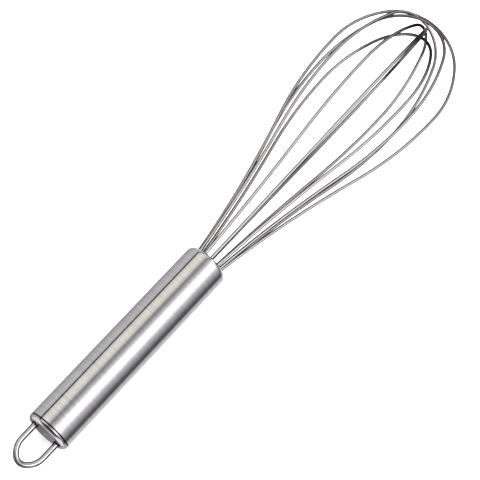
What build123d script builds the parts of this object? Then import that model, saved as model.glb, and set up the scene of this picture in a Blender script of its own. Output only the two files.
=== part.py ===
"""Balloon whisk: brushed tube handle, six spring-wire loops, stamped end cap and a swinging hanging loop.

Frame: +X runs along the handle axis towards the tip of the balloon, +Z is up when the whisk lies down, and
the origin is the centre of the handle tube's rear rim, where the end cap meets it. Millimetres.
"""
from build123d import *

import os
from math import atan2, cos, degrees, sin, sqrt

# Handle tube
TUBE_RADIUS = 11.2
TUBE_WALL = 0.8
TUBE_LENGTH = 109.4
MOUTH_ROLL = 2.8  # outer radius of the rolled-in mouth
BORE_RADIUS = TUBE_RADIUS - TUBE_WALL
PRESS_GAP = 0.03  # radial gap of the pieces pressed into the tube

# Wire loops
WIRE = 1.6  # diameter
EXIT_CIRCLE = 6.8  # radius of the circle on which the legs cross the mouth plane
SPLAY_LENGTH = 5.0  # length inside the mouth over which a leg bends from straight to its exit direction
LEG_TAIL = 27.0  # straight length behind that bend
EXIT_PART = 0.82  # exit angle of a leg at the mouth, as a part of its mean slope
FLARE_PART = 1.5  # steepest angle of a leg, as a part of its mean slope

# Each loop: turn of its plane about the handle axis, lean of the balloon out of that plane, half width,
# reach beyond the mouth, how far along its reach it is widest, and how strongly its shoulder's radius
# follows the length of its tip (2 makes an ellipse's shoulder)
LOOPS = {
    "wire_loop_1": (-7.5, 1.9, 33.0, 180.2, 0.767, 1.83),
    "wire_loop_2": (-29.0, -2.7, 29.6, 171.2, 0.712, 2.10),
    "wire_loop_3": (19.0, 1.9, 26.5, 177.2, 0.702, 2.00),
    "wire_loop_4": (-51.0, -1.6, 31.0, 163.0, 0.748, 1.83),
    "wire_loop_5": (56.0, -0.2, 23.0, 170.0, 0.748, 1.68),
    "wire_loop_6": (88.5, 0.0, 33.7, 168.0, 0.757, 1.87),
}

# Pieces that hold the legs inside the mouth
SEAL_FRONT = 108.4
SEAL_LENGTH = 3.6
INSERT_LENGTH = 16.0
LOCK_PLATE_GAP = 3.0  # from the insert's rear face
LOCK_PLATE_THICKNESS = 1.5
HOLE_GAP = 0.03  # radial gap between a leg and its hole
HOLE_OVERRUN = 1.0  # length cut beyond each face

# End cap
CAP_HEIGHT = 3.1  # from the tube's rim to the crown
CAP_DOME = 150.0  # crown radius
CAP_SHOULDER = 2.4
CAP_SHEET = 0.8
CAP_GROOVE = 0.35  # open joint between cap and tube
SKIRT_WALL = 0.8
SKIRT_LENGTH = 7.0
SKIRT_FILLET = 2.0

# Hanging loop, and the slots and keeper that it swings in
LOOP_WIRE = 2.8
LOOP_LEG = 6.6  # half the distance between the two legs
LOOP_OUT = 20.0  # from the tube's rim to the far end's centre line
LOOP_CROWN = 4.5  # centre-line radius of the far end
LOOP_FLANK = 10.0  # centre-line radius between the far end and each leg
LOOP_BEND = 1.7  # centre-line radius where a leg turns into its foot
FOOT_GAP = 0.6  # between the two feet
RUNNING_GAP = 0.05
SLOT_WIDTH = 3.4
SLOT_REACH = 5.5  # half the slots' length
SLOT_EDGE = 0.2  # rounding of the slots' outer edges
SLOT_FLOOR = -0.5  # where the slots end on the cap's side
KEEPER_SHEET = 0.8
KEEPER_WIDTH = 8.0
KEEPER_FLANGE = 3.0

PIVOT_X = -CAP_HEIGHT + CAP_SHEET + RUNNING_GAP + LOOP_WIRE / 2


def ring(outer, inner, start, end):
    """A plain ring or, with no inner radius, a disc about the handle axis."""
    face = Circle(outer) - Circle(inner) if inner else Circle(outer)
    return extrude(Plane.YZ.offset(start) * face, end - start)


def wire_solid(path, diameter):
    """Round wire along a path."""
    section = Plane(origin=path @ 0, z_dir=path % 0) * Circle(diameter / 2)
    return sweep(section, path=path)


def balloon_half(half_width, reach, widest, shoulder_power):
    """One leg's centre line from the mouth plane to the tip, in the loop's own XY plane.

    Four tangent arcs: the leg flares, curves back to run level at its widest point, turns over the
    shoulder and closes on the tip, where it crosses the axis squarely.
    """
    run = widest * reach
    slope = atan2(half_width - EXIT_CIRCLE, run)
    leaves, steepest = EXIT_PART * slope, FLARE_PART * slope
    # The flare radius f and the belly radius b follow from where both arcs together have to end:
    # f (sin s - sin l) + b sin s = run, and f (cos l - cos s) + b (1 - cos s) = rise
    rise = half_width - EXIT_CIRCLE
    flare_x, flare_y = sin(steepest) - sin(leaves), cos(leaves) - cos(steepest)
    belly_x, belly_y = sin(steepest), 1 - cos(steepest)
    determinant = flare_x * belly_y - belly_x * flare_y
    flare = (run * belly_y - belly_x * rise) / determinant
    belly = (flare_x * rise - run * flare_y) / determinant
    # The shoulder's centre lies under the widest point, the tip's centre on the axis
    left = reach - run
    shoulder = half_width * (left / half_width) ** shoulder_power
    drop = half_width - shoulder
    tip = (shoulder**2 - left**2 - drop**2) / (2 * (shoulder - left))
    turned = degrees(atan2(left - tip, -drop))

    out = JernArc((0, EXIT_CIRCLE), (cos(leaves), sin(leaves)), flare, degrees(steepest - leaves))
    level = JernArc(out @ 1, out % 1, belly, -degrees(steepest))
    over = JernArc(level @ 1, level % 1, shoulder, -turned)
    close = JernArc(over @ 1, over % 1, tip, turned - 90)
    return Wire([out, level, over, close])


def loop_path(turn, lean, *shape):
    """A whole loop: tail, splay, balloon, splay and tail."""
    place = Location((TUBE_LENGTH, 0, 0)) * Rot(X=turn) * Rot(Y=lean)
    half = balloon_half(*shape)
    edges = []
    for side in (half, half.mirror(Plane.XZ)):
        balloon = place * side
        leg_exit = balloon.edges().sort_by(Axis.X)[0]
        away = Vector(1, 0, 0)
        ahead = (leg_exit @ 0).X < (leg_exit @ 1).X
        start = leg_exit @ 0 if ahead else leg_exit @ 1
        heading = leg_exit % 0 if ahead else -(leg_exit % 1)
        splay_start = start - (away + heading).normalized() * SPLAY_LENGTH
        edges += [Line(splay_start - away * LEG_TAIL, splay_start)]
        edges += [TangentArc(splay_start, start, tangent=away)]
        edges += balloon.edges()
    return Wire(edges)


def tube():
    """Thin tube with its mouth rolled in to a small lip."""
    corner = TUBE_LENGTH - MOUTH_ROLL
    roll_inner = MOUTH_ROLL - TUBE_WALL
    lip = TUBE_RADIUS - MOUTH_ROLL
    outside = Line((0, TUBE_RADIUS), (corner, TUBE_RADIUS))
    roll = RadiusArc((corner, TUBE_RADIUS), (TUBE_LENGTH, lip), MOUTH_ROLL)
    edge = Line((TUBE_LENGTH, lip), (TUBE_LENGTH - TUBE_WALL, lip))
    inner_roll = RadiusArc((TUBE_LENGTH - TUBE_WALL, lip), (corner, lip + roll_inner), -roll_inner)
    bore = Polyline((corner, BORE_RADIUS), (0, BORE_RADIUS), (0, TUBE_RADIUS))
    return revolve(make_face(Wire([outside, roll, edge, inner_roll, *bore.edges()])), Axis.X)


def leg_holes(paths, start, end):
    """Round holes that follow every leg between two planes across the handle axis."""
    cut = ring(TUBE_RADIUS, 0, start, end)
    return [wire_solid(path, WIRE + 2 * HOLE_GAP) & cut for path in paths]


def cap_blank():
    """The stamped cap before its slots: a domed crown, a round shoulder and a skirt inside the tube."""
    dome_centre = CAP_DOME - CAP_HEIGHT
    ring_radius = TUBE_RADIUS - CAP_SHOULDER
    ring_x = dome_centre - sqrt((CAP_DOME - CAP_SHOULDER) ** 2 - ring_radius**2)
    part = CAP_DOME / (CAP_DOME - CAP_SHOULDER)
    meet = (dome_centre + (ring_x - dome_centre) * part, ring_radius * part)
    skirt = BORE_RADIUS - PRESS_GAP
    inside = skirt - SKIRT_WALL
    ceiling = CAP_SHEET - CAP_HEIGHT

    crown = RadiusArc((-CAP_HEIGHT, 0), meet, CAP_DOME)
    shoulder = RadiusArc(meet, (ring_x, TUBE_RADIUS), CAP_SHOULDER)
    rim = Polyline(
        (ring_x, TUBE_RADIUS),
        (-CAP_GROOVE, TUBE_RADIUS),
        (-CAP_GROOVE, skirt),
        (SKIRT_LENGTH, skirt),
        (SKIRT_LENGTH, inside),
        (ceiling + SKIRT_FILLET, inside),
    )
    corner = RadiusArc((ceiling + SKIRT_FILLET, inside), (ceiling, inside - SKIRT_FILLET), -SKIRT_FILLET)
    under = Polyline((ceiling, inside - SKIRT_FILLET), (ceiling, 0), (-CAP_HEIGHT, 0))
    outline = Wire([crown, shoulder, *rim.edges(), corner, *under.edges()])
    return revolve(make_face(outline), Axis.X)


def end_cap():
    """The cap with the two slots that the loop's legs swing in."""
    slot = SlotOverall(2 * SLOT_REACH, SLOT_WIDTH, rotation=90)
    cap = cap_blank()
    for side in (1, -1):
        across = Plane.YZ.offset(-2 * CAP_HEIGHT) * Pos(side * LOOP_LEG, 0) * slot
        cap -= extrude(across, 2 * CAP_HEIGHT + SLOT_FLOOR)
    rims = cap.edges().filter_by(lambda edge: edge.center().X < -CAP_HEIGHT + CAP_SHEET / 2)
    return fillet(rims, SLOT_EDGE)


def hanging_loop():
    """A U of round wire whose legs turn in to two feet, which lie on the pivot axis under the bridge."""
    foot_start = (PIVOT_X, FOOT_GAP / 2)
    foot_end = (PIVOT_X, LOOP_LEG - LOOP_BEND)
    # The far end: a crown arc between two flank arcs, each tangent to a leg where the leg ends
    reach = sqrt((LOOP_FLANK - LOOP_CROWN) ** 2 - (LOOP_FLANK - LOOP_LEG) ** 2)
    leg_end = -LOOP_OUT + LOOP_CROWN + reach
    turned = degrees(atan2(reach, LOOP_FLANK - LOOP_LEG))

    foot = Line(foot_start, foot_end)
    bend = JernArc(foot_end, (0, 1), LOOP_BEND, 90)
    leg = Line(bend @ 1, (leg_end, LOOP_LEG))
    flank = JernArc(leg @ 1, (-1, 0), LOOP_FLANK, turned)
    crown = JernArc(flank @ 1, flank % 1, LOOP_CROWN, 90 - turned)
    half = Wire([foot, bend, leg, flank, crown])
    other = half.mirror(Plane.XZ)
    return wire_solid(Wire([*half.edges(), *other.edges()]), LOOP_WIRE)


def loop_keeper():
    """A strap under the bridge: a trough that the feet turn in, with a flange on each side of it."""
    bore = LOOP_WIRE / 2 + RUNNING_GAP
    outer = bore + KEEPER_SHEET
    ceiling = CAP_SHEET - CAP_HEIGHT + PRESS_GAP - PIVOT_X
    down = (Align.MIN, Align.CENTER)
    trough = Circle(outer) + Pos(-outer, 0) * Rectangle(outer, 2 * outer, align=down)
    trough -= Circle(bore) + Pos(-outer, 0) * Rectangle(outer, 2 * bore, align=down)
    trough += Pos(ceiling, 0) * Rectangle(KEEPER_SHEET, 2 * (outer + KEEPER_FLANGE), align=down)
    trough -= Pos(ceiling, 0) * Rectangle(KEEPER_SHEET, 2 * bore, align=down)
    trough -= Pos(2 * ceiling, 0) * Rectangle(-ceiling, 4 * outer, align=down)
    profile = Plane((PIVOT_X, KEEPER_WIDTH / 2, 0), x_dir=(1, 0, 0), z_dir=(0, -1, 0)) * trough
    return extrude(profile, KEEPER_WIDTH)


paths = {name: loop_path(*shape) for name, shape in LOOPS.items()}
seal_rear = SEAL_FRONT - SEAL_LENGTH
insert_rear = seal_rear - INSERT_LENGTH
lock_front = insert_rear - LOCK_PLATE_GAP
lock_rear = lock_front - LOCK_PLATE_THICKNESS
lip_radius = TUBE_RADIUS - MOUTH_ROLL

nodes = {name: wire_solid(path, WIRE) for name, path in paths.items()}
nodes["handle_tube"] = tube()
nodes["wire_insert"] = ring(BORE_RADIUS - PRESS_GAP, 0, insert_rear, seal_rear)
nodes["lock_plate"] = ring(BORE_RADIUS - PRESS_GAP, 0, lock_rear, lock_front)
nodes["mouth_seal"] = ring(lip_radius - PRESS_GAP, 0, seal_rear, SEAL_FRONT)
for name in ("wire_insert", "lock_plate", "mouth_seal"):
    box = nodes[name].bounding_box()
    for hole in leg_holes(paths.values(), box.min.X - HOLE_OVERRUN, box.max.X + HOLE_OVERRUN):
        nodes[name] -= hole
nodes["end_cap"] = end_cap()
nodes["hanging_loop"] = hanging_loop()
nodes["loop_keeper"] = loop_keeper()

os.makedirs("parts", exist_ok=True)
for name, shape in nodes.items():
    export_step(shape, f"parts/{name}.step")
    print(name, len(shape.solids()), round(shape.volume, 2))
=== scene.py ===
import math

import bpy
from mathutils import Matrix, Vector


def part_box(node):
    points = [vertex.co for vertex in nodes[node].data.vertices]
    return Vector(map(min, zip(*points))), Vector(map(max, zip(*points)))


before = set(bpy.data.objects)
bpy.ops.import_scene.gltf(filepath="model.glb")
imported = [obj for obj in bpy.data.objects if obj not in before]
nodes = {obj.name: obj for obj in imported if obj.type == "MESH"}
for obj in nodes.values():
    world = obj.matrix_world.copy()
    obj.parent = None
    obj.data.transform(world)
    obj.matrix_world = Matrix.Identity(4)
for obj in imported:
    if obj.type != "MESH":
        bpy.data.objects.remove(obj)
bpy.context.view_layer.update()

# Camera: looks down on the whisk from the handle side, in metres and degrees of the row frame
CAMERA_PLACE = (-0.10037, -0.00380, 0.66819)
CAMERA_TILT = 18.91
CAMERA_ROLL = 46.75
CAMERA_LENS = 110.1
SENSOR_WIDTH = 36

# Floor: a wide sheet that touches the end cap's underside and the lowest wire where the balloon is fullest
FLOOR_SIZE = 400
FLOOR_GAP = 0.0004
BELLY_X = 0.234

# Overhead light
LIGHT_WAY = (-0.1, -0.3, -1.6)
LIGHT_SPREAD = 100
LIGHT_STRENGTH = 5.0

# Places in the frame where the materials change, in metres
# Painted shade: the next two spans turn the tube and the cap near-black where they meet, in the groove
# between them.
TUBE_GROOVE_SHADE = (0.00022, 0.00036)
CAP_GROOVE_SHADE = (-0.00052, -0.00044)
CAP_SHOULDER = (0.0072, 0.0085)
# Painted shade: over this span the wires darken towards the balloon's tip.
TIP_SHADE_SPAN = (0.235, 0.278)

# The studio as the handle mirrors it: angle about the handle axis from straight up towards +Y, light there.
# It is mirrored at twice the slope of the handle's side.
BANDS = [
    (-180, 0.60),
    (-165, 0.90),
    (-140, 0.88),
    (-122, 0.72),
    (-115, 0.50),
    (-110, 0.14),
    (-102, 0.11),
    (-90, 0.18),
    (-77, 0.41),
    (-60, 0.73),
    (-50, 1.18),
    (-43, 1.75),
    (-34, 2.60),
    (-20, 2.40),
    (-13, 1.50),
    (-6, 0.98),
    (4, 0.58),
    (15, 0.34),
    (20, 0.42),
    (26, 0.84),
    (36, 1.08),
    (48, 1.16),
    (62, 1.00),
    (67.6, 0.94),
    (68.2, 0.01),
    (76.8, 0.01),
    (77.4, 0.72),
    (94, 0.76),
    (125, 0.62),
    (146, 0.46),
    (180, 0.30),
]
# The same studio behind the whisk, as the end cap and the hanging loop mirror it: height of the direction,
# light there
REAR = [
    (-1.0, 0.50),
    (-0.72, 0.50),
    (-0.42, 1.30),
    (-0.20, 1.10),
    (-0.06, 0.36),
    (0.34, 0.32),
    (0.44, 0.04),
    (0.88, 0.03),
    (0.93, 1.60),
    (1.0, 1.60),
]
LIGHT_ASIDE = 1.30  # behind the whisk but far to either side
LIGHT_AHEAD = 1.10  # low beyond the balloon
WARM = (1.0, 0.962, 0.905, 1.0)
COOL = (0.985, 0.962, 1.0, 1.0)


# ---------------------------------------------------------------- node helpers
class Nodes:
    """Adds nodes to a tree and links them, so that a material reads as a list of steps."""

    def __init__(self, tree):
        self.tree = tree
        self.tree.nodes.clear()

    def add(self, kind, inputs=None, **settings):
        node = self.tree.nodes.new(kind)
        for key, value in settings.items():
            setattr(node, key, value)
        for key, value in (inputs or {}).items():
            if isinstance(value, bpy.types.NodeSocket):
                self.tree.links.new(value, node.inputs[key])
            else:
                node.inputs[key].default_value = value
        return node

    def math(self, operation, a, b=0.0, clamp=False):
        node = self.add("ShaderNodeMath", {0: a, 1: b}, operation=operation, use_clamp=clamp)
        return node.outputs[0]

    def noise(self, vector, scale, detail=3.0, roughness=0.55):
        node = self.add("ShaderNodeTexNoise", {"Vector": vector, "Scale": scale, "Detail": detail,
                                               "Roughness": roughness})
        return node.outputs["Fac"]

    def stretch(self, vector, scale):
        return self.add("ShaderNodeMapping", {"Vector": vector, "Scale": scale}).outputs[0]

    def spread(self, value, low, high, to_low=0.0, to_high=1.0):
        node = self.add("ShaderNodeMapRange", {"Value": value, "From Min": low, "From Max": high,
                                               "To Min": to_low, "To Max": to_high})
        return node.outputs[0]

    def blend(self, factor, a, b):
        node = self.add("ShaderNodeMix", data_type="RGBA")
        for socket, value in ((node.inputs[0], factor), (node.inputs[6], a), (node.inputs[7], b)):
            if isinstance(value, bpy.types.NodeSocket):
                self.tree.links.new(value, socket)
            else:
                socket.default_value = value
        return node.outputs[2]


def new_material(name):
    """A material with an empty tree, and the helper that fills it."""
    material = bpy.data.materials.new(name)
    material.use_nodes = True
    return material, Nodes(material.node_tree)


def tint(level, warm=0.0):
    """A grey, a little warm or cold."""
    return (level * (1 + warm), level, level * (1 - warm), 1.0)


def metal(n, colour, roughness, normal, rim=0.6, extra=None):
    """A metal shader; rim is its tint where it is seen edge-on."""
    inputs = {
        "Base Color": colour,
        "Metallic": 1.0,
        "Roughness": roughness,
        "Normal": normal,
        "Specular Tint": tint(rim),
    }
    shader = n.add("ShaderNodeBsdfPrincipled", inputs | (extra or {}))
    n.add("ShaderNodeOutputMaterial", {"Surface": shader.outputs[0]})


def edge_shade_coat(n, edge_shade_passes):
    """A dark coat that shows at a slant, where it lets only a part of the light pass: painted shade on the
    wire's edges.
    """
    # Painted shade: a dark coat grows where the surface is seen at a slant, darkening the wire's edges.
    facing = n.add("ShaderNodeLayerWeight", {"Blend": 0.5}).outputs["Facing"]
    return {
        "Coat Weight": n.spread(facing, 0.04, 0.40),
        "Coat Roughness": 0.2,
        "Coat IOR": 1.15,
        "Coat Tint": tint(edge_shade_passes),
    }


def place_of(n):
    """Place in the whisk's own frame, in metres."""
    return n.add("ShaderNodeTexCoord").outputs["Object"]


def along(n, place):
    """Distance from the tube's rear rim along the handle axis."""
    return n.add("ShaderNodeSeparateXYZ", {0: place}).outputs[0]


# ---------------------------------------------------------------- materials
def brushed_tube():
    """Steel tube brushed round and round: fine grain lines across the axis that start and end."""
    material, n = new_material("brushed_tube")
    place = place_of(n)
    fine = n.noise(n.stretch(place, (5200, 90, 90)), 1.0, 2.0)
    mid = n.noise(n.stretch(place, (1500, 28, 28)), 1.0, 1.0)
    cloud = n.noise(place, 55.0, 3.0)
    lines = n.math("ADD", n.math("MULTIPLY", fine, 0.4), n.math("MULTIPLY", mid, 0.6))
    colour = n.blend(n.spread(lines, 0.38, 0.62), tint(0.57), tint(0.675))
    # Painted shade: the tube turns near-black at its rear rim, in the groove by the cap.
    uneven = n.math("ADD", along(n, place), n.math("MULTIPLY", cloud, 0.0001))
    groove_shade = n.spread(uneven, *TUBE_GROOVE_SHADE)
    colour = n.blend(groove_shade, tint(0.04, 0.05), colour)
    rough = n.math("ADD", n.spread(lines, 0.3, 0.7, 0.10, 0.20), n.spread(cloud, 0.3, 0.7, -0.015, 0.02))
    bump = n.add("ShaderNodeBump", {"Height": lines, "Strength": 0.25, "Distance": 0.00003})
    around = n.add("ShaderNodeTangent", direction_type="RADIAL", axis="X")
    brushing = {"Anisotropic": 0.8, "Anisotropic Rotation": 0.25, "Tangent": around.outputs[0]}
    metal(n, colour, rough, bump.outputs[0], 0.9, brushing)
    return material


def polished_cap():
    """Stamped cap: its bridge brushed along the loop's width, its shoulder polished."""
    material, n = new_material("polished_cap")
    place = place_of(n)
    fine = n.noise(n.stretch(place, (300, 120, 900)), 1.0, 4.0)
    cloud = n.noise(place, 240.0, 3.0)
    split = n.add("ShaderNodeSeparateXYZ", {0: place})
    squares = [n.math("POWER", split.outputs[i], 2.0) for i in (1, 2)]
    out = n.math("SQRT", n.math("ADD", *squares))
    shoulder = n.spread(out, *CAP_SHOULDER)
    grain = n.math("MULTIPLY", fine, n.math("SUBTRACT", 1.0, n.math("MULTIPLY", shoulder, 0.85)))
    colour = n.blend(n.spread(fine, 0.35, 0.65), tint(0.46, 0.01), tint(0.70, -0.01))
    # Painted shade: the cap turns near-black at its edge by the tube, in the groove between them.
    groove_shade = n.spread(split.outputs[0], *CAP_GROOVE_SHADE)
    colour = n.blend(groove_shade, colour, tint(0.03, 0.05))
    rough = n.math("ADD", n.spread(shoulder, 0.0, 1.0, 0.24, 0.08), n.spread(cloud, 0.3, 0.7, -0.02, 0.03))
    bump = n.add("ShaderNodeBump", {"Height": grain, "Strength": 0.3, "Distance": 0.00003})
    metal(n, colour, rough, bump.outputs[0])
    return material


def drawn_wire(name, level, rough_low, rough_high, rim, edge_shade_level):
    """Drawn wire: faint lines along it, cloudy polish, specks, painted shade on its edges where it is seen
    at a slant, and painted shade darkening it in patches towards the balloon's tip.
    """
    material, n = new_material(name)
    place = place_of(n)
    lines = n.noise(n.stretch(place, (90, 5200, 5200)), 1.0, 2.0)
    cloud = n.noise(place, 160.0, 4.0)
    speck = n.spread(n.noise(place, 2600.0, 2.0), 0.66, 0.76)
    colour = n.blend(n.spread(cloud, 0.3, 0.7), tint(level * 0.88, 0.015), tint(level, 0.0))
    colour = n.blend(speck, colour, tint(level * 0.6, 0.03))
    # Painted shade: the wire darkens, in patches, towards the balloon's tip.
    tip_shade = n.math("MULTIPLY", n.spread(along(n, place), *TIP_SHADE_SPAN), n.spread(cloud, 0.2, 0.6, 0.6, 1.0))
    colour = n.blend(tip_shade, colour, tint(level * 0.52, 0.02))
    both = n.math("ADD", n.math("MULTIPLY", lines, 0.5), n.math("MULTIPLY", cloud, 0.5))
    rough = n.spread(both, 0.35, 0.65, rough_low, rough_high)
    bump = n.add("ShaderNodeBump", {"Height": lines, "Strength": 0.2, "Distance": 0.00002})
    # Painted shade on the wire's edges where it is seen at a slant.
    metal(n, colour, rough, bump.outputs[0], rim, edge_shade_coat(n, edge_shade_level))
    return material


def inner_steel():
    """Plain rolled sheet, seen only through the slots."""
    material, n = new_material("inner_steel")
    place = place_of(n)
    grain = n.noise(n.stretch(place, (900, 300, 4000)), 1.0, 3.0)
    colour = n.blend(n.spread(grain, 0.35, 0.65), tint(0.34, 0.02), tint(0.46, 0.0))
    bump = n.add("ShaderNodeBump", {"Height": grain, "Strength": 0.2, "Distance": 0.00003})
    metal(n, colour, n.spread(grain, 0.3, 0.7, 0.28, 0.42), bump.outputs[0])
    return material


def inner_alloy():
    """Turned alloy insert inside the tube."""
    material, n = new_material("inner_alloy")
    place = place_of(n)
    rings = n.noise(n.stretch(place, (5200, 80, 80)), 1.0, 2.0)
    colour = n.blend(n.spread(rings, 0.35, 0.65), tint(0.46, 0.0), tint(0.58, 0.0))
    bump = n.add("ShaderNodeBump", {"Height": rings, "Strength": 0.3, "Distance": 0.00004})
    metal(n, colour, n.spread(rings, 0.3, 0.7, 0.3, 0.45), bump.outputs[0])
    return material


def cast_seal():
    """Grey cast resin in the mouth, slightly uneven."""
    material, n = new_material("seal")
    place = place_of(n)
    cloud = n.noise(place, 420.0, 4.0)
    grain = n.noise(place, 3800.0, 2.0)
    colour = n.blend(n.spread(cloud, 0.3, 0.7), tint(0.30, 0.01), tint(0.40, 0.0))
    height = n.math("ADD", cloud, n.math("MULTIPLY", grain, 0.15))
    bump = n.add("ShaderNodeBump", {"Height": height, "Strength": 0.4, "Distance": 0.0002})
    shader = n.add("ShaderNodeBsdfPrincipled", {
        "Base Color": colour,
        "Roughness": n.spread(grain, 0.3, 0.7, 0.38, 0.55),
        "Normal": bump.outputs[0],
    })
    n.add("ShaderNodeOutputMaterial", {"Surface": shader.outputs[0]})
    return material


def dress(material, *names):
    """Puts a material on the named CAD nodes."""
    for name in names:
        mesh = nodes[name].data
        mesh.materials.clear()
        mesh.materials.append(material)


# ---------------------------------------------------------------- studio
def light_curve(n, value, low, high, stops):
    """A level that runs straight from stop to stop."""
    peak = max(level for _, level in stops)
    curve = n.add("ShaderNodeFloatCurve", {"Value": n.spread(value, low, high)})
    line = curve.mapping.curves[0]
    places = [((at - stops[0][0]) / (stops[-1][0] - stops[0][0]), level / peak) for at, level in stops]
    line.points[0].location = places[0]
    line.points[1].location = places[-1]
    for place in places[1:-1]:
        line.points.new(*place)
    for point in line.points:
        point.handle_type = "VECTOR"
    curve.mapping.update()
    return n.math("MULTIPLY", curve.outputs[0], peak)


def studio_world():
    """Light all round the handle, in soft bands along it, with a dark patch high behind the cap."""
    world = bpy.data.worlds.new("studio")
    bpy.context.scene.world = world
    world.use_nodes = True
    n = Nodes(world.node_tree)
    way = n.add("ShaderNodeSeparateXYZ", {0: n.add("ShaderNodeTexCoord").outputs["Generated"]})
    x, y, z = way.outputs
    angle = n.math("ARCTAN2", y, z)
    bands = light_curve(n, angle, -math.pi, math.pi, BANDS)
    rear = light_curve(n, z, -1.0, 1.0, REAR)
    aside = n.math("MULTIPLY", n.spread(n.math("ABSOLUTE", y), 0.34, 0.50), n.spread(z, 0.30, 0.15))
    rear = n.add("ShaderNodeMix", {0: aside, 2: rear, 3: LIGHT_ASIDE}).outputs[0]
    behind = n.spread(x, -0.32, -0.44)
    ahead = n.math("MULTIPLY", n.spread(x, 0.48, 0.78), n.spread(z, -0.20, -0.45))
    level = n.add("ShaderNodeMix", {0: behind, 2: bands, 3: rear}).outputs[0]
    level = n.add("ShaderNodeMix", {0: ahead, 2: level, 3: LIGHT_AHEAD}).outputs[0]
    cream = n.math("MULTIPLY", n.spread(angle, math.radians(14), math.radians(26)),
                   n.spread(angle, math.radians(74), math.radians(68)))
    colour = n.blend(cream, COOL, WARM)
    seen = n.add("ShaderNodeLightPath").outputs["Is Camera Ray"]
    shown = n.add("ShaderNodeBackground", {"Color": (1, 1, 1, 1), "Strength": 1.0})
    lit = n.add("ShaderNodeBackground", {"Color": colour, "Strength": level})
    both = n.add("ShaderNodeMixShader", {0: seen, 1: lit.outputs[0], 2: shown.outputs[0]})
    n.add("ShaderNodeOutputWorld", {"Surface": both.outputs[0]})


def pale_floor():
    """A pale sheet that the end cap and the balloon rest on."""
    cap_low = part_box("end_cap")[0]
    loop_low = min((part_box(f"wire_loop_{i}")[0] for i in range(1, 7)), key=lambda low: low.z)
    cap_x = cap_low.x / 2
    slope = math.atan2(cap_low.z - loop_low.z, BELLY_X - cap_x)
    bpy.ops.mesh.primitive_plane_add(size=FLOOR_SIZE)
    floor = bpy.context.object
    floor.name = "floor"
    place = Matrix.Translation((cap_x, 0, cap_low.z - FLOOR_GAP))
    floor.matrix_world = place @ Matrix.Rotation(slope, 4, "Y")
    floor.visible_glossy = False
    material, n = new_material("floor")
    cloud = n.noise(place_of(n), 3.0, 2.0)
    shader = n.add("ShaderNodeBsdfPrincipled", {
        "Base Color": n.blend(cloud, tint(0.90), tint(0.92)),
        "Roughness": 0.9,
        "Specular IOR Level": 0.1,
    })
    n.add("ShaderNodeOutputMaterial", {"Surface": shader.outputs[0]})
    floor.data.materials.append(material)


def fill_light():
    """A wide soft light from above that keeps the floor pale; the steel mirrors the studio instead."""
    data = bpy.data.lights.new("overhead", "SUN")
    data.angle = math.radians(LIGHT_SPREAD)
    data.energy = LIGHT_STRENGTH
    light = bpy.data.objects.new("overhead", data)
    bpy.context.scene.collection.objects.link(light)
    light.rotation_euler = Vector(LIGHT_WAY).to_track_quat("-Z", "Y").to_euler()
    light.visible_glossy = False
    light.visible_camera = False


def camera():
    """The camera over the whisk, tilted along it and turned so that it lies across the picture."""
    data = bpy.data.cameras.new("camera")
    data.lens = CAMERA_LENS
    data.sensor_width = SENSOR_WIDTH
    data.clip_start = 0.01
    view = bpy.data.objects.new("camera", data)
    bpy.context.scene.collection.objects.link(view)
    view.matrix_world = (
        Matrix.Translation(CAMERA_PLACE)
        @ Matrix.Rotation(-math.radians(CAMERA_TILT), 4, "Y")
        @ Matrix.Rotation(-math.radians(CAMERA_ROLL), 4, "Z")
    )
    bpy.context.scene.camera = view


camera()
studio_world()
pale_floor()
fill_light()
bpy.context.scene.view_settings.view_transform = "Standard"

WIRES = [f"wire_loop_{i}" for i in range(1, 7)]
dress(brushed_tube(), "handle_tube")
dress(polished_cap(), "end_cap")
dress(drawn_wire("polished_wire", 0.70, 0.03, 0.06, 0.3, 0.02), "hanging_loop")
dress(drawn_wire("spring_wire", 0.59, 0.05, 0.10, 0.3, 0.035), *WIRES)
dress(inner_steel(), "loop_keeper", "lock_plate")
dress(inner_alloy(), "wire_insert")
dress(cast_seal(), "mouth_seal")
